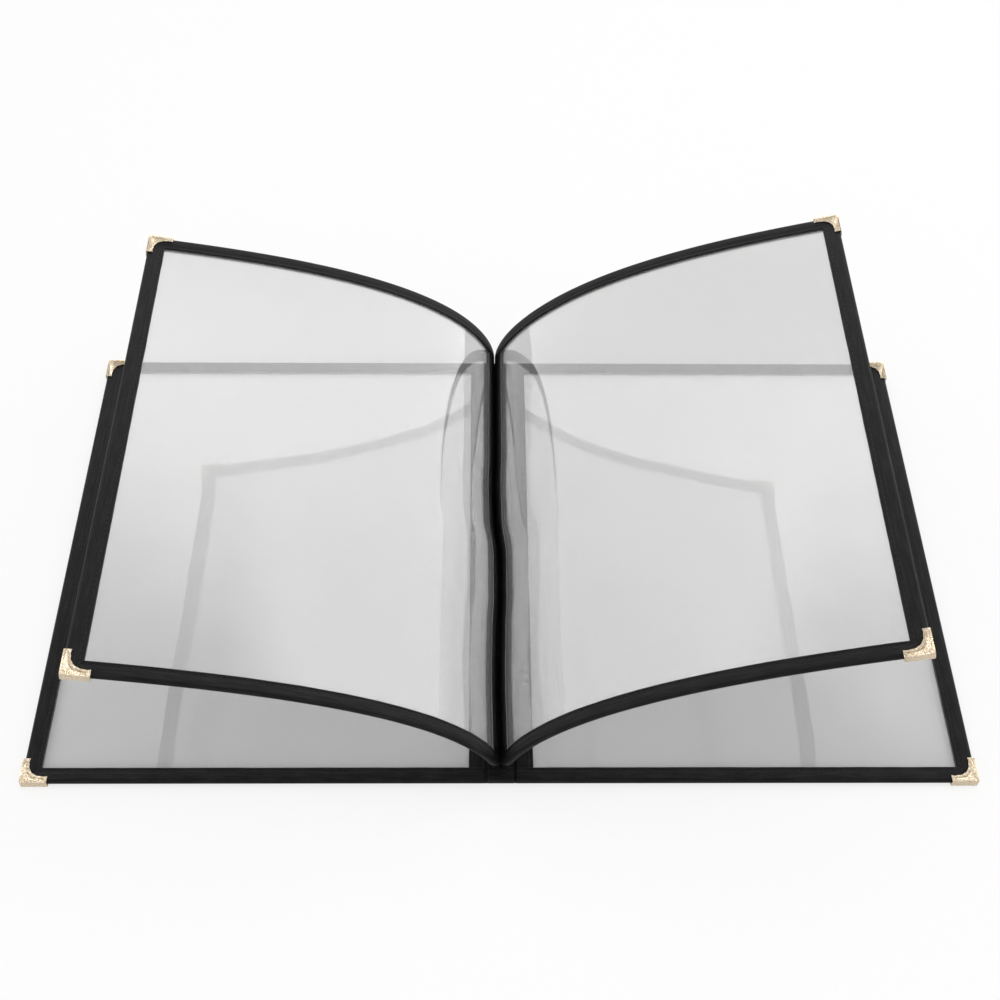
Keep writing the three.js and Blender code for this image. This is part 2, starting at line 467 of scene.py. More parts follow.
@dataclass(frozen=True)
class Leatherette:
    """PVC-coated cloth tape, embossed: satin black, pebbled, finely creased along its length."""

    # dark and light are the painted shade in the crease hollows and the painted sheen on their
    # ridges
    dark: str = "#0B0B0C"
    light: str = "#1F1F20"
    pebble_mm: float = 0.9
    crease_mm: float = 1.3
    crease_run: float = 11.0
    patch_mm: float = 5.2
    pebble_depth_mm: float = 0.06
    crease_depth_mm: float = 0.14
    creased: tuple[float, float] = (0.42, 0.78)
    roughness: tuple[float, float] = (0.42, 0.62)
    specular: float = 0.14

    def build(self) -> bpy.types.Material:
        """Builds the finish.

        Returns:
            The material.
        """
        nodes = MaterialNodes("embossed leatherette tape")
        along = nodes.get("ShaderNodeUVMap", uv_map="tape")
        cells = {"Vector": along, "Scale": 1 / (self.pebble_mm * MM), "Randomness": 0.9}
        pebbles = nodes.get("ShaderNodeTexVoronoi", cells, feature="SMOOTH_F1")
        run = {0: along, 1: (1 / self.crease_run, 1.0, 1.0)}
        drawn = nodes.get("ShaderNodeVectorMath", run, operation="MULTIPLY")
        creases = nodes.noise(drawn, self.crease_mm, detail=3.0, Distortion=0.6)
        patches = nodes.noise(drawn, self.patch_mm, detail=2.0)
        # Painted shade and sheen: the colour is darker in the crease hollows and lighter on their
        # ridges, from the noise that raises the creases
        shade = nodes.ramp(creases, *self.creased, 0.0, 1.0)
        first = nodes.bump(creases, 1.0, self.crease_depth_mm)
        inputs = {
            "Base Color": nodes.colour(shade, srgb(self.dark), srgb(self.light)),
            "Roughness": nodes.ramp(patches, 0.0, 1.0, *self.roughness),
            "Specular IOR Level": self.specular,
            "Normal": nodes.bump(pebbles, 1.0, self.pebble_depth_mm, Normal=first),
        }
        return nodes.finish("ShaderNodeBsdfPrincipled", inputs)


@dataclass(frozen=True)
class Thread:
    """Bonded polyester sewing thread: black, twisted and drawn down into the tape."""

    colour: str = "#121213"
    twist_mm: float = 0.5
    twist_depth_mm: float = 0.06
    roughness: float = 0.55
    specular: float = 0.2

    def build(self) -> bpy.types.Material:
        """Builds the finish.

        Returns:
            The material.
        """
        nodes = MaterialNodes("bonded polyester thread")
        place = nodes.add("ShaderNodeTexCoord").outputs["Object"]
        lay = {"Vector": place, "Scale": 0.3 / (self.twist_mm * MM), "Distortion": 0.5}
        twist = nodes.add("ShaderNodeTexWave", lay, bands_direction="DIAGONAL").outputs["Fac"]
        inputs = {
            "Base Color": srgb(self.colour),
            "Roughness": self.roughness,
            "Specular IOR Level": self.specular,
            "Normal": nodes.bump(twist, 0.8, self.twist_depth_mm),
        }
        return nodes.finish("ShaderNodeBsdfPrincipled", inputs)


@dataclass(frozen=True)
class StampedBrass:
    """Thin stamped brass, pale-plated and tumbled: bright high spots and dull hollows."""

    bright: str = "#F2E8D4"
    dull: str = "#A1865F"
    grit_mm: float = 0.55
    grit_depth_mm: float = 0.08
    tumbled: tuple[float, float] = (0.35, 0.65)
    roughness: tuple[float, float] = (0.2, 0.42)

    def build(self) -> bpy.types.Material:
        """Builds the finish.

        Returns:
            The material.
        """
        nodes = MaterialNodes("stamped pale brass")
        place = nodes.add("ShaderNodeTexCoord").outputs["Object"]
        hammer = nodes.noise(place, self.grit_mm, detail=2.0)
        worn = nodes.ramp(hammer, *self.tumbled, 0.0, 1.0)
        smoothest, roughest = self.roughness
        inputs = {
            "Base Color": nodes.colour(worn, srgb(self.dull), srgb(self.bright)),
            "Metallic": 1.0,
            "Roughness": nodes.ramp(worn, 0.0, 1.0, roughest, smoothest),
            "Normal": nodes.bump(hammer, 0.7, self.grit_depth_mm),
        }
        return nodes.finish("ShaderNodeBsdfPrincipled", inputs)


@dataclass
class Finishes:
    """The booklet's materials, built once."""

    vinyl: bpy.types.Material = field(default_factory=lambda: ClearVinyl().build())
    vinyl_edge: bpy.types.Material = field(default_factory=lambda: CutVinyl().build())
    tape: bpy.types.Material = field(default_factory=lambda: Leatherette().build())
    thread: bpy.types.Material = field(default_factory=lambda: Thread().build())
    brass: bpy.types.Material = field(default_factory=lambda: StampedBrass().build())


def stand(name: str, data: bpy.types.ID) -> bpy.types.Object:
    """Makes an object in the scene.

    Args:
        name: Its name.
        data: Its mesh, light or camera.

    Returns:
        The object.
    """
    made = bpy.data.objects.new(name, data)
    bpy.context.scene.collection.objects.link(made)
    return made


def mesh_piece(
    name: str,
    points: Sequence[Vector],
    faces: Sequence[Sequence[int]],
    materials: Sequence[bpy.types.Material],
    uv: Sequence[tuple[float, float]] | None = None,
) -> bpy.types.Object:
    """Makes a mesh object whose faces point outwards.

    Args:
        name: The piece's name.
        points: Its points, in metres.
        faces: Its faces, as numbers of points.
        materials: Its materials. The first is on every face.
        uv: For each point, its place along and across the tape, in metres.

    Returns:
        The object.
    """
    mesh = bpy.data.meshes.new(name)
    mesh.from_pydata([tuple(p) for p in points], [], [tuple(f) for f in faces])
    if uv is not None:
        layer = mesh.uv_layers.new(name="tape")
        for loop in mesh.loops:
            layer.data[loop.index].uv = uv[loop.vertex_index]
    shell = bmesh.new()
    shell.from_mesh(mesh)
    bmesh.ops.recalc_face_normals(shell, faces=shell.faces)
    shell.to_mesh(mesh)
    shell.free()
    for material in materials:
        mesh.materials.append(material)
    return stand(name, mesh)


def smooth(piece: bpy.types.Object, angle: float) -> bpy.types.Object:
    """Shades a piece smooth.

    Args:
        piece: The piece.
        angle: Edges that turn by more than this stay sharp, in degrees.

    Returns:
        The same piece.
    """
    mesh = piece.data
    mesh.polygons.foreach_set("use_smooth", [True] * len(mesh.polygons))
    mesh.set_sharp_from_angle(angle=math.radians(angle))
    return piece


def loft_faces(count: int, rings: int) -> list[tuple[int, ...]]:
    """Faces of a closed solid through rings of points.

    Args:
        count: Points in each ring.
        rings: How many rings there are.

    Returns:
        The faces between the rings, and one at each end.
    """
    faces = []
    for k in range(rings - 1):
        for i in range(count):
            a, b = k * count + i, k * count + (i + 1) % count
            faces.append((a, b, b + count, a + count))
    last = (rings - 1) * count
    faces.append(tuple(reversed(range(count))))
    faces.append(tuple(range(last, last + count)))
    return faces


@dataclass(frozen=True)
class TapeSection:
    """Section of a folded and stitched tape, across its width.

    Attributes:
        width: From the fold to the lip that lies on the vinyl.
        depth: How deep the channel for the vinyl is. At 0 there is none.
        stitch_inset: From the lip to the line of stitches.
        seed: Sets the small unevenness of this tape.
        wobble: How far the lip wanders, where it lies free on the vinyl.
        wobble_over: Length over which it does.
        pitch: From one stitch to the next.
        groove: How deep the stitches sink.
        groove_half_width: Half the width of the groove that they pull.
        stitch_sunk: How far their middle lies below its bottom.
        tension: How much of the groove's depth rises again between stitches, halved.
        crown: How much fuller the tape is in its middle than at its fold.
        uneven: How much its thickness wanders.
        uneven_over: Lengths over which it does, across and along.
        lip: From the lip to the first point of its outer face.
        lip_height: Half the height of the lip, as a share of half the leaf's thickness.
        shut_height: The same for a tape without a channel, as a share of its outer face's height.
        lip_bevel: Size of the bevel at the channel's mouth, across the tape and up.
        samples: Steps across the outer face.
        nose_steps: Steps round the fold.
    """

    width: float
    depth: float
    stitch_inset: float = 2.1
    seed: float = 0.0
    wobble: float = 0.12
    wobble_over: float = 14.0
    pitch: float = 3.4
    groove: float = 0.22
    groove_half_width: float = 0.75
    stitch_sunk: float = 0.02
    tension: float = 0.25
    crown: float = 0.1
    uneven: float = 0.04
    uneven_over: tuple[float, float] = (3.0, 9.0)
    lip: float = 0.3
    lip_height: float = 0.86
    shut_height: float = 0.9
    lip_bevel: tuple[float, float] = (0.15, 0.12)
    samples: int = 12
    nose_steps: int = 8

    @property
    def stitch_line(self) -> float:
        """Distance from the fold to the stitches."""
        return self.width - self.stitch_inset

    @property
    def stitch_level(self) -> float:
        """Distance from the middle of the leaf to the middle of the stitches."""
        return STOCK.half - self.groove - self.stitch_sunk

    def height(self, u: float, pos: float) -> float:
        """Half the tape's thickness.

        Args:
            u: Distance from the fold.
            pos: Distance along the tape.

        Returns:
            Distance from the middle of the leaf to the tape's outer face.
        """
        from_stitch = (u - self.stitch_line) / self.groove_half_width
        pull = 1 - self.tension + self.tension * math.cos(2 * math.pi * pos / self.pitch)
        sunk = self.groove * pull * math.exp(-from_stitch * from_stitch)
        share = min(1.0, max(0.0, u / self.stitch_line))
        puffed = self.crown * (1 - math.sin(math.pi * share))
        place = Vector((u / self.uneven_over[0], pos / self.uneven_over[1], self.seed))
        wander = self.uneven * noise.noise(place)
        return STOCK.half - puffed - sunk + wander

    def outer(self, pos: float, sign: int) -> list[tuple[float, float]]:
        """Outer face on one side, from the lip to where the fold's round begins.

        Args:
            pos: Distance along the tape.
            sign: 1 for the front and -1 for the back.

        Returns:
            Points as distance from the fold and height.
        """
        last = STOCK.half
        first = self.width - self.lip
        steps = [first + (last - first) * i / self.samples for i in range(self.samples + 1)]
        return [(u, sign * self.height(u, pos)) for u in steps]

    def ring(self, pos: float) -> list[tuple[float, float]]:
        """Outline of the section.

        Args:
            pos: Distance along the tape.

        Returns:
            Points as distance from the fold and height, once round.
        """
        wander = self.wobble * noise.noise(Vector((pos / self.wobble_over, self.seed, 5.0)))
        width = self.width + wander - self.wobble
        top = self.outer(pos, 1)
        nose = []
        edge = top[-1][1]
        for i in range(1, self.nose_steps):
            angle = math.pi * (0.5 + i / self.nose_steps)
            nose.append((STOCK.half * (1 + math.cos(angle)), edge * math.sin(angle)))
        bottom = list(reversed(self.outer(pos, -1)))
        if not self.depth:
            lip = self.shut_height * top[0][1]
            return [(width, lip), *top, *nose, *bottom, (width, -lip)]
        inner = STOCK.half - STOCK.tape
        floor = self.width - self.depth
        across, up = self.lip_bevel
        lip = self.lip_height * STOCK.half
        mouth = [(width - across, inner), (width, inner + up), (width, lip)]
        below = [(u, -v) for u, v in reversed(mouth)]
        return [*top, *nose, *bottom, *below, (floor, -inner), (floor, inner), *mouth]


# How far the grain of one tape lies from the next one's, for each step of seed
GRAIN_SHIFT = 37


def tape_piece(
    name: str,
    section: TapeSection,
    stations: Sequence[float],
    put: Callable[[float, float, float], Vector],
    finishes: Finishes,
) -> bpy.types.Object:
    """Sweeps a tape's section along the tape.

    Args:
        name: The piece's name.
        section: The tape's section.
        stations: Distances along the tape, one for each ring.
        put: Gives a point from the distance along the tape, the distance from the fold and height.
        finishes: The materials.

    Returns:
        The tape, with its place along and across itself as its UV map.
    """
    points, uv = [], []
    count = 0
    for pos in stations:
        ring = section.ring(pos)
        count = len(ring)
        around = 0.0
        before = ring[0]
        for u, v in ring:
            around += math.dist(before, (u, v))
            before = (u, v)
            points.append(put(pos, u, v))
            uv.append((MM * (pos + GRAIN_SHIFT * section.seed), MM * around))
    piece = mesh_piece(name, points, loft_faces(count, len(stations)), [finishes.tape], uv)
    return smooth(piece, 50)


def spread(low: float, high: float, step: float) -> list[float]:
    """Even distances from low to high, about step apart."""
    count = max(1, round((high - low) / step))
    return [low + (high - low) * i / count for i in range(count + 1)]


class AlongPaths:
    """Geometry nodes that set an ellipsoid at even steps along paths: stitches and beads."""

    def __init__(self) -> None:
        """Builds the tree."""
        tree = bpy.data.node_groups.new("ellipsoids along paths", "GeometryNodeTree")
        face = tree.interface
        face.new_socket("Paths", in_out="INPUT", socket_type="NodeSocketGeometry")
        for name, kind in (
            ("Spacing", "NodeSocketFloat"),
            ("Half Sizes", "NodeSocketVector"),
            ("Unevenness", "NodeSocketFloat"),
            ("Material", "NodeSocketMaterial"),
        ):
            face.new_socket(name, in_out="INPUT", socket_type=kind)
        face.new_socket("Pieces", in_out="OUTPUT", socket_type="NodeSocketGeometry")
        given = tree.nodes.new("NodeGroupInput").outputs
        nodes = Nodes(tree)
        curves = nodes.get("GeometryNodeMeshToCurve", {"Mesh": given["Paths"]})
        length = {"Curve": curves, "Length": given["Spacing"]}
        steps = nodes.get("GeometryNodeResampleCurve", length, mode="LENGTH")
        ball = nodes.get("GeometryNodeMeshUVSphere", {"Segments": 8, "Rings": 6, "Radius": 1.0})
        tangent = nodes.get("GeometryNodeInputTangent")
        turn = nodes.get("FunctionNodeAlignRotationToVector", {"Vector": tangent}, axis="X")
        least = nodes.sum("SUBTRACT", 1.0, given["Unevenness"])
        most = nodes.sum("ADD", 1.0, given["Unevenness"])
        between = {2: least, 3: most, "Seed": 7}
        vary = nodes.add("FunctionNodeRandomValue", between, data_type="FLOAT").outputs[1]
        scale = {0: given["Half Sizes"], "Scale": vary}
        size = nodes.get("ShaderNodeVectorMath", scale, operation="SCALE")
        where = {"Points": steps, "Instance": ball, "Rotation": turn, "Scale": size}
        placed = nodes.get("GeometryNodeInstanceOnPoints", where)
        real = nodes.get("GeometryNodeRealizeInstances", {0: placed})
        rounded = nodes.get("GeometryNodeSetShadeSmooth", {"Geometry": real})
        finish = {"Geometry": rounded, "Material": given["Material"]}
        dressed = nodes.get("GeometryNodeSetMaterial", finish)
        out = tree.nodes.new("NodeGroupOutput")
        tree.links.new(dressed, out.inputs[0])
        self.tree = tree
        self.sockets = {
            item.name: item.identifier
            for item in face.items_tree
            if item.item_type == "SOCKET" and item.in_out == "INPUT"
        }

    def run(
        self,
        name: str,
        paths: Iterable[Sequence[Vector]],
        spacing: float,
        half_sizes: tuple[float, float, float],
        material: bpy.types.Material,
        unevenness: float = 0.06,
    ) -> bpy.types.Object:
        """Makes one plain mesh of ellipsoids along every path.

        Args:
            name: The piece's name.
            paths: Lines of points, in metres.
            spacing: Distance between ellipsoids, in millimetres.
            half_sizes: Half their length along the path and both ways across it, in millimetres.
            material: Their material.
            unevenness: How much their sizes differ, as a share.

        Returns:
            The piece.
        """
        points, edges = [], []
        for path in paths:
            first = len(points)
            points += [tuple(p) for p in path]
            edges += [(first + i, first + i + 1) for i in range(len(path) - 1)]
        lines = bpy.data.meshes.new(f"{name}_paths")
        lines.from_pydata(points, edges, [])
        holder = stand(f"{name}_paths", lines)
        nodes = holder.modifiers.new("along paths", "NODES")
        nodes.node_group = self.tree
        nodes[self.sockets["Spacing"]] = spacing * MM
        nodes[self.sockets["Half Sizes"]] = [MM * size for size in half_sizes]
        nodes[self.sockets["Unevenness"]] = unevenness
        nodes[self.sockets["Material"]] = material
        graph = bpy.context.evaluated_depsgraph_get()
        mesh = bpy.data.meshes.new_from_object(holder.evaluated_get(graph), depsgraph=graph)
        bpy.data.objects.remove(holder)
        mesh.name = name
        return stand(name, mesh)


@dataclass
class Window:
    """One clear sheet of a leaf's pocket.

    Attributes:
        shape: The leaf.
        face: The side of the pocket.
        begin: Where it begins, from the spine.
        seed: Sets its slack.
        step_across: Step of its mesh away from the spine.
        step_along: Step of its mesh along the spine.
        sway: How far its slack stands off.
        held: How far inside the leaf's edge the tape holds it flat.
        free: How much further it is before it is fully slack.
        slow_wave: Lengths of its long waves, across and along.
        quick_wave: Lengths of its short waves, which run along the spine.
        quick_share: Share of the short waves at a page's seam.
        quick_over: Distance from the seam over which they die away.
        flat_share: Their share on a cover.
    """

    shape: LeafShape
    face: Face
    begin: float
    seed: float
    step_across: float = 2.6
    step_along: float = 4.0
    sway: float = 0.35
    held: float = 9.0
    free: float = 26.0
    slow_wave: tuple[float, float] = (46.0, 95.0)
    quick_wave: tuple[float, float] = (17.0, 120.0)
    quick_share: float = 0.8
    quick_over: float = 60.0
    flat_share: float = 0.15

    def lift(self, s: float, y: float) -> float:
        """How far the slack sheet stands off its flat place, dying away at the tape.

        Args:
            s: Distance from the spine, along the leaf.
            y: Distance along the spine.

        Returns:
            Distance towards the reader.
        """
        inside = min(s - self.begin, self.shape.width - s, STOCK.height / 2 - abs(y))
        slack = ease((inside - self.held) / self.free)
        slow = noise.noise(Vector((s / self.slow_wave[0], y / self.slow_wave[1], self.seed)))
        quick = noise.noise(
            Vector((s / self.quick_wave[0], y / self.quick_wave[1], self.seed + 9))
        )
        share = self.flat_share
        if self.shape.curled:
            share = self.quick_share * math.exp(-max(0.0, s - self.begin) / self.quick_over)
        return self.sway * slack * (slow + share * quick)

    def build(self, name: str, finishes: Finishes) -> bpy.types.Object:
        """Builds the sheet as a thin closed solid, with painted edge light on its cut edges.

        Args:
            name: The piece's name.
            finishes: The materials.

        Returns:
            The sheet.
        """
        end = self.shape.width - STOCK.sheet_edge
        half = STOCK.height / 2 - STOCK.sheet_edge
        across = spread(self.begin, end, self.step_across)
        along = spread(-half, half, self.step_along)
        low = (self.face.value * (STOCK.pocket + STOCK.sheet) - STOCK.sheet) / 2
        points = []
        for t in (low, low + STOCK.sheet):
            for s in across:
                points += [self.shape.place(s, y, t + self.lift(s, y)) for y in along]
        rows, cols = len(across), len(along)
        layer = rows * cols
        faces = []
        for i in range(rows - 1):
            for j in range(cols - 1):
                a = i * cols + j
                faces.append((a, a + 1, a + cols + 1, a + cols))
                faces.append((layer + a, layer + a + cols, layer + a + cols + 1, layer + a + 1))
        flat = len(faces)
        rim = list(range(cols))
        rim += [i * cols + cols - 1 for i in range(1, rows)]
        rim += [(rows - 1) * cols + j for j in reversed(range(cols - 1))]
        rim += [i * cols for i in reversed(range(1, rows - 1))]
        for a, b in zip(rim, rim[1:] + rim[:1]):
            faces.append((a, layer + a, layer + b, b))
        piece = mesh_piece(name, points, faces, [finishes.vinyl, finishes.vinyl_edge])
        for number in range(flat, len(faces)):
            piece.data.polygons[number].material_index = 1
        return smooth(piece, 40)


@dataclass
class BrassCorner:
    """A stamped corner: the frame's folded plate, softened, with a beaded rim and a fan of ribs.

    Attributes:
        shape: The leaf.
        end: The end of the leaf that it lies at.
        bevel: Size of the round on its edges.
        round_from: Edges that turn by more than this are rounded, in degrees.
        bead: Half the size of a bead.
        bead_height: Its height, as a share of its size.
        bead_uneven: How much the beads' sizes differ, as a share.
        bead_spacing: From one bead to the next.
        rim: From the hollow edge to its line of beads.
        fan_ribs: How many ribs fan out.
        rib_from: Where a rib begins, from the corner.
        outer_rib: Where the first and last rib end.
        inner_rib: Where the others end.
        rib_shift: How far the fan is moved away from both outer edges.
        rib_step: Step of a rib's line.
        edge_line: From an outer edge to its line of beads.
        edge_from: Where that line begins, from the corner.
        edge_short: How far it stops short of the arm's end.
        edge_step: Its step.
        hollow_steps: Steps along the hollow edge.
    """

    shape: LeafShape
    end: End
    bevel: float = 0.13
    round_from: float = 40.0
    bead: float = 0.3
    bead_height: float = 0.6
    bead_uneven: float = 0.12
    bead_spacing: float = 0.78
    rim: float = 1.0
    fan_ribs: int = 5
    rib_from: float = 1.0
    outer_rib: float = 4.992
    inner_rib: float = 3.588
    rib_shift: float = 0.2
    rib_step: float = 0.4
    edge_line: float = 0.35
    edge_from: float = 1.2
    edge_short: float = 0.9
    edge_step: float = 0.8
    hollow_steps: int = 32

    def axes(self) -> Matrix:
        """Places the corner's own plane: its arms along X and Y, and the leaf's corner at 0.

        Returns:
            Turns a point of that plane, in metres, to the frame.
        """
        arm = STOCK.corner_arm
        middle = self.shape.width - arm / 2
        slope = self.shape.middle(middle)[2]
        side = self.shape.side.value
        tangent = Vector((side * math.cos(slope), 0, math.sin(slope)))
        up = Vector((-side * math.sin(slope), 0, math.cos(slope)))
        origin = self.shape.place(middle, self.end.value * STOCK.height / 2, 0)
        origin += tangent * (arm / 2) * MM
        along = Vector((0, -self.end.value, 0))
        return Matrix.Translation(origin) @ Matrix((-tangent, along, up)).transposed().to_4x4()

    def hollow(self, inset: float) -> list[tuple[float, float]]:
        """Runs along the plate's hollow edge.

        Args:
            inset: How far the points are moved towards the corner.

        Returns:
            Points in the plate's plane.
        """
        arm, wide, pull = STOCK.corner_arm, STOCK.corner_arm_width, STOCK.corner_pull
        points = []
        for i in range(self.hollow_steps + 1):
            k = i / self.hollow_steps
            a = (1 - k) ** 2 * arm + 2 * k * (1 - k) * pull + k * k * wide
            b = (1 - k) ** 2 * wide + 2 * k * (1 - k) * pull + k * k * arm
            points.append((a - inset, b - inset))
        return [(a, b) for a, b in points if max(a, b) < arm - inset]

    def relief(self) -> list[list[tuple[float, float]]]:
        """Draws the stamping: its rim, ribs that fan out, and a line along each outer edge.

        Returns:
            Lines of points in the plate's plane.
        """
        lines = [self.hollow(self.rim)]
        for i in range(self.fan_ribs):
            angle = math.radians(90 * (i + 0.5) / self.fan_ribs)
            far = self.inner_rib if 0 < i < self.fan_ribs - 1 else self.outer_rib
            run = spread(self.rib_from, far, self.rib_step)
            across, along = math.cos(angle), math.sin(angle)
            lines.append([(k * across + self.rib_shift, k * along + self.rib_shift) for k in run])
        run = spread(self.edge_from, STOCK.corner_arm - self.edge_short, self.edge_step)
        lines.append([(k, self.edge_line) for k in run])
        lines.append([(self.edge_line, k) for k in run])
        return lines

    def build(
        self, name: str, source: bpy.types.Object, repeat: AlongPaths, finishes: Finishes
    ) -> bpy.types.Object:
        """Builds the corner.

        Args:
            name: The piece's name.
            source: The frame's plain corner, which gives the folded plate.
            repeat: Sets the beads.
            finishes: The materials.

        Returns:
            The plate and its relief as one mesh.
        """
        shell = bmesh.new()
        shell.from_mesh(source.data)
        shell.transform(source.matrix_world)
        bmesh.ops.remove_doubles(shell, verts=shell.verts, dist=0.01 * MM)
        bmesh.ops.dissolve_limit(
            shell, angle_limit=math.radians(2), verts=shell.verts, edges=shell.edges
        )
        least = math.radians(self.round_from)
        sharp = [e for e in shell.edges if e.is_manifold and e.calc_face_angle() > least]
        round_off = {"offset": self.bevel * MM, "segments": 2, "affect": "EDGES"}
        bmesh.ops.bevel(shell, geom=sharp, clamp_overlap=True, **round_off)
        mesh = bpy.data.meshes.new(name)
        shell.to_mesh(mesh)
        shell.free()
        mesh.materials.append(finishes.brass)
        plate = smooth(stand(name, mesh), 40)
        axes = self.axes()
        level = STOCK.half + STOCK.gap + STOCK.brass
        paths = [
            [axes @ (MM * Vector((a, b, sign * level))) for a, b in line]
            for sign in (1, -1)
            for line in self.relief()
        ]
        size = (self.bead, self.bead, self.bead_height * self.bead)
        beads = repeat.run(
            f"{name}_relief", paths, self.bead_spacing, size, finishes.brass, self.bead_uneven
        )
        with bpy.context.temp_override(
            active_object=plate, object=plate, selected_editable_objects=[plate, beads]
        ):
            bpy.ops.object.join()
        return plate


def give(
    piece: bpy.types.Object,
    shape: LeafShape,
    body: str,
    slot: str,
    *nodes: str,
    bends: bool = False,
) -> None:
    """Ties a piece to its body, or bakes its place into its mesh if it is soft on a page, and hides
    the frame's nodes that it stands for.

    Args:
        piece: The piece.
        shape: The leaf that it belongs to.
        body: The body that it follows.
        slot: Not used.
        nodes: The frame's nodes that it replaces.
        bends: Whether it is soft. On a page its place is then baked into its mesh, and it is not
            tied to the body.
    """
    if bends and shape.curled:
        start, end = (
            (MM * shape.side.value * across, 0.0, MM * up)
            for across, up in (shape.still, shape.turned)
        )
        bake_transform(piece)
        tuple(start)
        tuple(end)
    else:
        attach(piece, body)
    if nodes:
        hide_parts(*nodes)
    log.info("%s: %d faces on %s", piece.name, len(piece.data.polygons), body)


@dataclass
class Leaf:
    """A pocket of two vinyl sheets, bound and stitched on its head, foot and outer edges.

    Attributes:
        name: Begins the names of its pieces and of the frame's nodes.
        shape: Its run across the spread.
        body: The body that it rides on.
        seed: Sets its unevenness.
        repeat: Sets its stitches and beads.
        finishes: The materials.
        ring_step: From one ring of a tape to the next.
        rounding: Angles of the rings round a tape's end at the spine, in radians.
        stitch: Half the sizes of a stitch.
        sewn_from: From a tape's end to its first stitch.
        sewn_step: Step of the lines that the stitches follow across the spread.
        straight_step: The same along the outer edge.
    """

    name: str
    shape: LeafShape
    body: str
    seed: float
    repeat: AlongPaths
    finishes: Finishes
    ring_step: float = 1.7
    rounding: tuple[float, ...] = (0.08, 0.3, 0.6, 0.9, 1.2)
    stitch: tuple[float, float, float] = (1.25, 0.3, 0.2)
    sewn_from: float = 3.6
    sewn_step: float = 3.0
    straight_step: float = 20.0

    def section(self, width: float) -> TapeSection:
        """Section of a tape of that width on one of the leaf's outer edges."""
        return TapeSection(width, width - STOCK.half, seed=self.seed)

    def dress(self) -> None:
        """Builds every piece of the leaf, and ties it to its body unless it is soft on a page."""
        self.windows()
        for end in End:
            self.edge_tape(end)
        self.side_tape()
        for end in End:
            self.corner(end)
        self.stitching()

    def windows(self) -> None:
        """Makes the two clear sheets. The front one's spine edge is free, to take the card."""
        begins = {
            Face.FRONT: self.shape.spine + STOCK.hair,
            Face.BACK: self.shape.spine - STOCK.spine_tuck,
        }
        for face, begin in begins.items():
            # Both sheets sway together, so that they don't cross in the pocket
            window = Window(self.shape, face, begin, self.seed)
            piece = window.build(f"{self.name}_{face.word}_vinyl", self.finishes)
            node = f"{self.name}_{face.word}_window"
            give(piece, self.shape, self.body, "clear_vinyl", node, bends=True)

    def edge_tape(self, end: End) -> None:
        """Makes the tape on the head or the foot, from its round end at the spine to the mitre.

        Args:
            end: The end that it lies at.
        """
        shape, half = self.shape, STOCK.height / 2
        last = shape.width - STOCK.side_binding - STOCK.hair
        rounding = [shape.begin + STOCK.half * (1 - math.cos(a)) for a in self.rounding]
        stations = [*rounding, *spread(shape.begin + STOCK.half, last, self.ring_step), shape.width]

        def put(pos: float, u: float, v: float) -> Vector:
            """Lays the tape along the leaf, rounds it off at the spine and cuts it on the mitre."""
            y = end.value * (half - u)
            if pos > last:
                return shape.place(shape.width - u * STOCK.mitre - STOCK.hair, y, v)
            short = 1 - min(1.0, (pos - shape.begin) / STOCK.half)
            return shape.place(pos, y, v * math.sqrt(1 - short * short))

        section = self.section(STOCK.binding)
        piece = tape_piece(f"{self.name}_{end.word}_tape", section, stations, put, self.finishes)
        node = f"{self.name}_{end.word}_binding"
        give(piece, shape, self.body, "leatherette", node, bends=True)

    def side_tape(self) -> None:
        """Makes the tape on the outer edge, mitred at both ends."""
        shape, half = self.shape, STOCK.height / 2
        last = half - STOCK.binding - STOCK.hair
        stations = [-half, *spread(-last, last, self.ring_step), half]

        def put(pos: float, u: float, v: float) -> Vector:
            """Lays the tape along the outer edge, and cuts both ends on the mitre."""
            y = pos
            if abs(pos) > last:
                y = math.copysign(half - u / STOCK.mitre - STOCK.hair, pos)
            return shape.place(shape.width - u, y, v)

        section = self.section(STOCK.side_binding)
        piece = tape_piece(f"{self.name}_side_tape", section, stations, put, self.finishes)
        give(piece, shape, self.body, "leatherette", f"{self.name}_side_binding")

    def corner(self, end: End) -> None:
        """Makes one brass corner.

        Args:
            end: The end that it lies at.
        """
        node = f"{self.name}_{end.word}_corner"
        maker = BrassCorner(self.shape, end)
        source = bpy.data.objects[node]
        piece = maker.build(f"{self.name}_{end.word}_brass", source, self.repeat, self.finishes)
        give(piece, self.shape, self.body, "brass_corner", node)

    def stitching(self) -> None:
        """Makes the stitches on both faces, along the head, outer and foot tapes."""
        shape, half = self.shape, STOCK.height / 2
        section = self.section(STOCK.binding)
        far = shape.width - self.section(STOCK.side_binding).stitch_line
        high = half - section.stitch_line
        paths = []
        for face in Face:
            level = face.value * section.stitch_level
            run = spread(shape.begin + self.sewn_from, far, self.sewn_step)
            paths += [[shape.place(s, end.value * high, level) for s in run] for end in End]
            run = spread(-high, high, self.straight_step)
            paths.append([shape.place(far, y, level) for y in run])
        piece = self.repeat.run(
            f"{self.name}_stitching", paths, section.pitch, self.stitch, self.finishes.thread
        )
        give(piece, shape, self.body, "leatherette", bends=True)


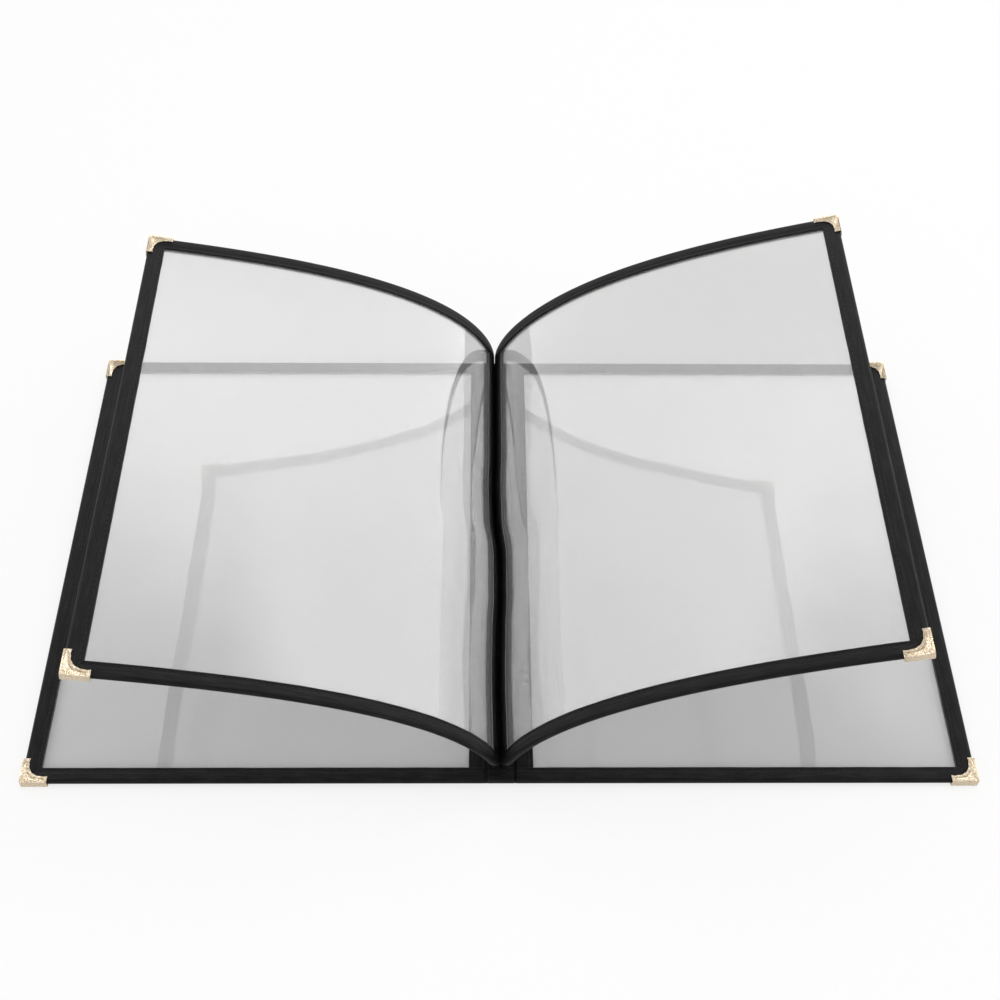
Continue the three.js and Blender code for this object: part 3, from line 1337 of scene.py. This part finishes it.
@dataclass
class Spine:
    """The tapes along the spine: two under the seam, and one for each leaf's spine edge.

    Attributes:
        shapes: The leaves, by name.
        repeat: Sets the stitches.
        finishes: The materials.
        ring_step: From one ring of a tape to the next.
        clear: From a strip's full height to the head and foot tapes.
        tuck: How far it runs on from there, under them.
        tucked_height: Its height there, as a share.
        sewn_from: From there to its first stitch.
        sewn_step: Step of the lines that the stitches follow.
        short_sewn: From both ends of a seam band's end tape to its stitches.
        stitch: Half the sizes of a stitch.
    """

    shapes: dict[str, LeafShape]
    repeat: AlongPaths
    finishes: Finishes
    ring_step: float = 1.7
    clear: float = 0.2
    tuck: float = 0.6
    tucked_height: float = 0.84
    sewn_from: float = 3.0
    sewn_step: float = 10.0
    short_sewn: tuple[float, float] = (1.5, 2.0)
    stitch: tuple[float, float, float] = (1.35, 0.32, 0.22)

    def dress(self) -> None:
        """Builds every tape along the spine, with its stitches."""
        depth = STOCK.spine_tuck + STOCK.gap
        for side in Side:
            word, seed = side.word, 3.0 + side.value
            cover, page = self.shapes[f"{word}_cover"], self.shapes[f"{word}_page"]
            bar = TapeSection(STOCK.fold - STOCK.slit, 0.0, 2.0, seed=seed + 20, wobble=0.0)
            self.strip(f"{word}_seam_band", f"{word}_seam_tape", "spine", cover, bar, 0.0)
            held = TapeSection(cover.spine - STOCK.fold, depth, seed=seed + 21)
            node = f"{word}_cover_spine_binding"
            self.strip(f"{word}_cover_spine_tape", node, f"{word}_cover", cover, held, STOCK.fold)
            rising = TapeSection(page.spine, depth, seed=seed + 22, samples=20)
            node = f"{word}_page_spine_binding"
            self.strip(f"{word}_page_spine_tape", node, f"{word}_page", page, rising, 0.0)
            for end in End:
                self.seam_end(word, end, cover, seed + 23 + end.value)

    def strip(
        self,
        name: str,
        node: str,
        body: str,
        shape: LeafShape,
        section: TapeSection,
        begin: float,
    ) -> None:
        """Makes one tape along the spine, tucked under the head and foot tapes.

        Args:
            name: The tape's name.
            node: The frame's node that it replaces.
            body: The body that it follows.
            shape: The leaf that it binds.
            section: Its section.
            begin: Where its fold lies, from the middle of the spine.
        """
        end = STOCK.height / 2 - STOCK.binding - self.clear

        def put(pos: float, u: float, v: float) -> Vector:
            """Lays the tape along the spine, and flattens it where it is tucked under."""
            return shape.place(begin + u, pos, v if abs(pos) <= end else self.tucked_height * v)

        stations = [-end - self.tuck, *spread(-end, end, self.ring_step), end + self.tuck]
        s, level = begin + section.stitch_line, section.stitch_level
        run = spread(self.sewn_from - end, end - self.sewn_from, self.sewn_step)
        paths = [[shape.place(s, y, face.value * level) for y in run] for face in Face]
        piece = tape_piece(name, section, stations, put, self.finishes)
        self.finish(piece, node, shape, body, section, paths)

    def seam_end(self, word: str, end: End, cover: LeafShape, seed: float) -> None:
        """Makes the short tape over the end of a seam band.

        Args:
            word: The side's name.
            end: The end of the spine.
            cover: The cover whose tape it meets.
            seed: Sets its unevenness.
        """
        half = STOCK.height / 2
        section = TapeSection(STOCK.binding, 0.0, seed=seed)

        def put(pos: float, u: float, v: float) -> Vector:
            """Lays the tape across the end of the band."""
            return cover.place(pos, end.value * (half - u), v)

        name = f"{word}_seam_{end.word}_tape"
        stations = spread(0.0, STOCK.fold - STOCK.slit, self.ring_step)
        piece = tape_piece(name, section, stations, put, self.finishes)
        y, level = end.value * (half - section.stitch_line), section.stitch_level
        run = (self.short_sewn[0], STOCK.fold - self.short_sewn[1])
        paths = [[cover.place(s, y, face.value * level) for s in run] for face in Face]
        self.finish(piece, f"{word}_seam_{end.word}_binding", cover, "spine", section, paths)

    def finish(
        self,
        piece: bpy.types.Object,
        node: str,
        shape: LeafShape,
        body: str,
        section: TapeSection,
        paths: Sequence[Sequence[Vector]],
    ) -> None:
        """Sews a tape, and ties it and its thread to their body, unless their leaf is a page, where
        their place is only baked into their mesh.

        Args:
            piece: The tape.
            node: The frame's node that it replaces.
            shape: The leaf that it belongs to.
            body: The body that it follows.
            section: Its section.
            paths: The lines of stitches.
        """
        thread = self.repeat.run(
            f"{piece.name}_stitching", paths, section.pitch, self.stitch, self.finishes.thread
        )
        give(piece, shape, body, "leatherette", node, bends=True)
        give(thread, shape, body, "leatherette", bends=True)


@dataclass(frozen=True)
class Studio:
    """A white floor, a soft overhead lamp and a pale surround with a dim ceiling.

    Attributes:
        surround: Light from all round on plain surfaces.
        front: Brightness of the wall in front of the booklet in reflections.
        wall: Brightness of the wall behind it in reflections.
        wall_turn: How far towards the back the one becomes the other.
        ceiling: Brightness of its ceiling in reflections.
        ceiling_from: Sine of the height where the wall starts to darken to the ceiling.
        ceiling_full: Sine of the height where it is as dark as the ceiling.
        lean: How much brighter the surround is in reflections to the right than in the middle.
        floor_glow: Share of plain white in the floor past the object.
        table_near: The table through the vinyl, nearer than table_fall.
        table_far: The same further away, darker with painted shade.
        table_fall: Where that painted shade begins and ends, along the table.
        table_lean: How much further that is on the left, for each metre.
        reach: From the middle of the table to its edges, in metres.
        drop: How far the table lies under the booklet, clear of the beads beneath it.
    """

    surround: float = 0.78
    front: float = 1.1
    wall: float = 2.2
    wall_turn: tuple[float, float] = (0.1, 0.5)
    ceiling: float = 0.65
    ceiling_from: float = 0.74
    ceiling_full: float = 0.87
    lean: float = 0.15
    floor_glow: float = 0.7
    table_near: str = "#EAEAEA"
    table_far: str = "#BCBCBC"
    table_fall: tuple[float, float] = (0.0, 0.3)
    table_lean: float = 0.3
    reach: float = 6.0
    drop: float = -0.0002

    def build(self) -> None:
        """Builds the floor, the lamps and the world."""
        self.world()
        self.floor()
        self.lamp("overhead softbox", spot=(0.5, 0.35, 1.65), size=1.5, watts=7.0)
        self.lamp("front fill", spot=(-0.9, -1.2, 1.1), size=1.0, watts=2.0)

    def world(self) -> None:
        """Makes the surround: white to the camera, and walls and ceiling to shiny surfaces."""
        world = bpy.data.worlds.new("pale studio")
        world.use_nodes = True
        tree = world.node_tree
        tree.nodes.clear()
        nodes = Nodes(tree)
        path = nodes.add("ShaderNodeLightPath").outputs
        towards = nodes.add("ShaderNodeTexCoord").outputs["Generated"]
        parts = nodes.add("ShaderNodeSeparateXYZ", {0: towards}).outputs
        walls = nodes.ramp(parts["Y"], *self.wall_turn, self.front, self.wall, "SMOOTHSTEP")
        span = (self.ceiling_from, self.ceiling_full)
        shade = nodes.ramp(parts["Z"], *span, walls, self.ceiling, "SMOOTHSTEP")
        leaning = nodes.sum("MULTIPLY_ADD", parts["X"], self.lean, 1.0)
        mirrored = nodes.sum("MULTIPLY", shade, leaning)
        plain = nodes.number(path["Is Glossy Ray"], self.surround, mirrored)
        seen = nodes.number(path["Is Camera Ray"], plain, 1.0)
        light = nodes.get("ShaderNodeBackground", {"Color": WHITE, "Strength": seen})
        out = tree.nodes.new("ShaderNodeOutputWorld")
        tree.links.new(light, out.inputs["Surface"])
        bpy.context.scene.world = world

    def floor(self) -> None:
        """Makes the white floor, which keeps a soft shadow; through the vinyl it is a grey table
        with painted shade.
        """
        nodes = MaterialNodes("white table")
        path = nodes.add("ShaderNodeLightPath").outputs
        # White where it is seen past the object; through the vinyl it is a grey table, darker
        # towards the back and the left with painted shade
        clear = path["Transparent Depth"]
        past = nodes.sum("SUBTRACT", path["Is Camera Ray"], clear, clamp=True)
        either = nodes.sum("MAXIMUM", past, path["Is Glossy Ray"])
        share = nodes.sum("MULTIPLY", either, self.floor_glow)
        place = nodes.add("ShaderNodeTexCoord").outputs["Object"]
        parts = nodes.add("ShaderNodeSeparateXYZ", {0: place}).outputs
        # Painted shade: the table through the vinyl darkens towards the back and the left
        depth = nodes.sum("MULTIPLY_ADD", parts["X"], self.table_lean, parts["Y"])
        fall = nodes.ramp(depth, *self.table_fall, 0.0, 1.0, "SMOOTHSTEP")
        table_with_painted_shade = nodes.colour(fall, srgb(self.table_near), srgb(self.table_far))
        lit = nodes.get("ShaderNodeBsdfDiffuse", {"Color": nodes.colour(either, table_with_painted_shade, WHITE)})
        glow = nodes.get("ShaderNodeEmission", {"Color": WHITE, "Strength": 1.0})
        material = nodes.finish("ShaderNodeMixShader", {0: share, 1: lit, 2: glow})
        square = ((-1, -1), (1, -1), (1, 1), (-1, 1))
        corners = [Vector((x * self.reach, y * self.reach, self.drop)) for x, y in square]
        plane = mesh_piece("table_top", corners, [(0, 1, 2, 3)], [material])
        plane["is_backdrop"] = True

    def lamp(self, name: str, spot: tuple[float, float, float], size: float, watts: float) -> None:
        """Hangs a square soft lamp that faces the booklet.

        Args:
            name: The lamp's name.
            spot: Where it hangs, in metres.
            size: Its side, in metres.
            watts: Its power.
        """
        light = bpy.data.lights.new(name, "AREA")
        light.shape = "SQUARE"
        light.size = size
        light.energy = watts
        holder = stand(name, light)
        holder.location = spot
        holder.rotation_euler = (-Vector(spot)).to_track_quat("-Z", "Y").to_euler()
        # Its square doesn't show in the vinyl, which mirrors only the plain surround
        holder.visible_glossy = False


@dataclass(frozen=True)
class Viewpoint:
    """The photograph's camera, fitted to the corners of the booklet. Angles are in degrees."""

    focal_px: float = 1486.0
    spot: tuple[float, float, float] = (-0.01176, -0.5147, 0.70029)
    pitch: float = 51.62
    yaw: float = 1.303
    roll: float = 1.108

    def build(self) -> None:
        """Makes the camera and looks through it."""
        pitch, yaw, roll = (math.radians(a) for a in (self.pitch, self.yaw, self.roll))
        flat, down = math.cos(pitch), math.sin(pitch)
        ahead = Vector((math.sin(yaw) * flat, math.cos(yaw) * flat, -down))
        level = Vector((math.cos(yaw), -math.sin(yaw), 0))
        upright = level.cross(ahead)
        right = math.cos(roll) * level + math.sin(roll) * upright
        up = -math.sin(roll) * level + math.cos(roll) * upright
        data = bpy.data.cameras.new("photograph view")
        data.sensor_width = SENSOR_MM
        data.lens = self.focal_px / IMAGE_SIDE * SENSOR_MM
        data.clip_start = 0.02
        camera = stand("photograph view", data)
        turned = Matrix((right, up, -ahead)).transposed().to_4x4()
        camera.matrix_world = Matrix.Translation(self.spot) @ turned
        bpy.context.scene.camera = camera


def leaf_shapes() -> dict[str, LeafShape]:
    """Shapes the four leaves of the booklet.

    Returns:
        The leaves by name, each side's cover before its page.
    """
    cover_z = STOCK.brass + STOCK.gap + STOCK.half
    seam = ((STOCK.leaf + STOCK.gap) / 2, cover_z + STOCK.half + STOCK.gap)
    curls = {
        Side.LEFT: {
            "edge_slope": 5.0,
            "bend": 54.3,
            "still": (-32.6, -52.2),
            "turned": (106.0, 169.6),
        },
        Side.RIGHT: {
            "edge_slope": 8.2,
            "bend": 63.2,
            "still": (-42.0, -57.8),
            "turned": (128.1, 176.4),
        },
    }
    shapes = {}
    for side, curl in curls.items():
        shapes[f"{side.word}_cover"] = LeafShape(
            side, STOCK.cover_width, STOCK.fold, STOCK.window_begin, (0.0, cover_z)
        )
        shapes[f"{side.word}_page"] = LeafShape(
            side, STOCK.page_width, 0.0, STOCK.window_begin, seam, seam_slope=90.0, **curl
        )
    return shapes


def set_render() -> None:
    """Sets plain colours, and lets light through every sheet of the stacked leaves."""
    scene = bpy.context.scene
    scene.view_settings.view_transform = "Standard"
    scene.cycles.transparent_max_bounces = 40
    scene.cycles.max_bounces = 16
    scene.cycles.glossy_bounces = 6


def main() -> None:
    """Builds the studio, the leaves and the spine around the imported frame."""
    logging.basicConfig(level=logging.INFO, format="%(name)s: %(message)s")
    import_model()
    cad_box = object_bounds()
    set_render()
    Viewpoint().build()
    Studio().build()
    finishes = Finishes()
    repeat = AlongPaths()
    shapes = leaf_shapes()
    for number, (name, shape) in enumerate(shapes.items()):
        Leaf(name, shape, name, 1.7 * number + 0.4, repeat, finishes).dress()
    Spine(shapes, repeat, finishes).dress()
    boxes = {"cad": cad_box, "visual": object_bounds()}
    sizes = {k: [[float(x) for x in corner] for corner in box] for k, box in boxes.items()}


if __name__ == "__main__":
    main()
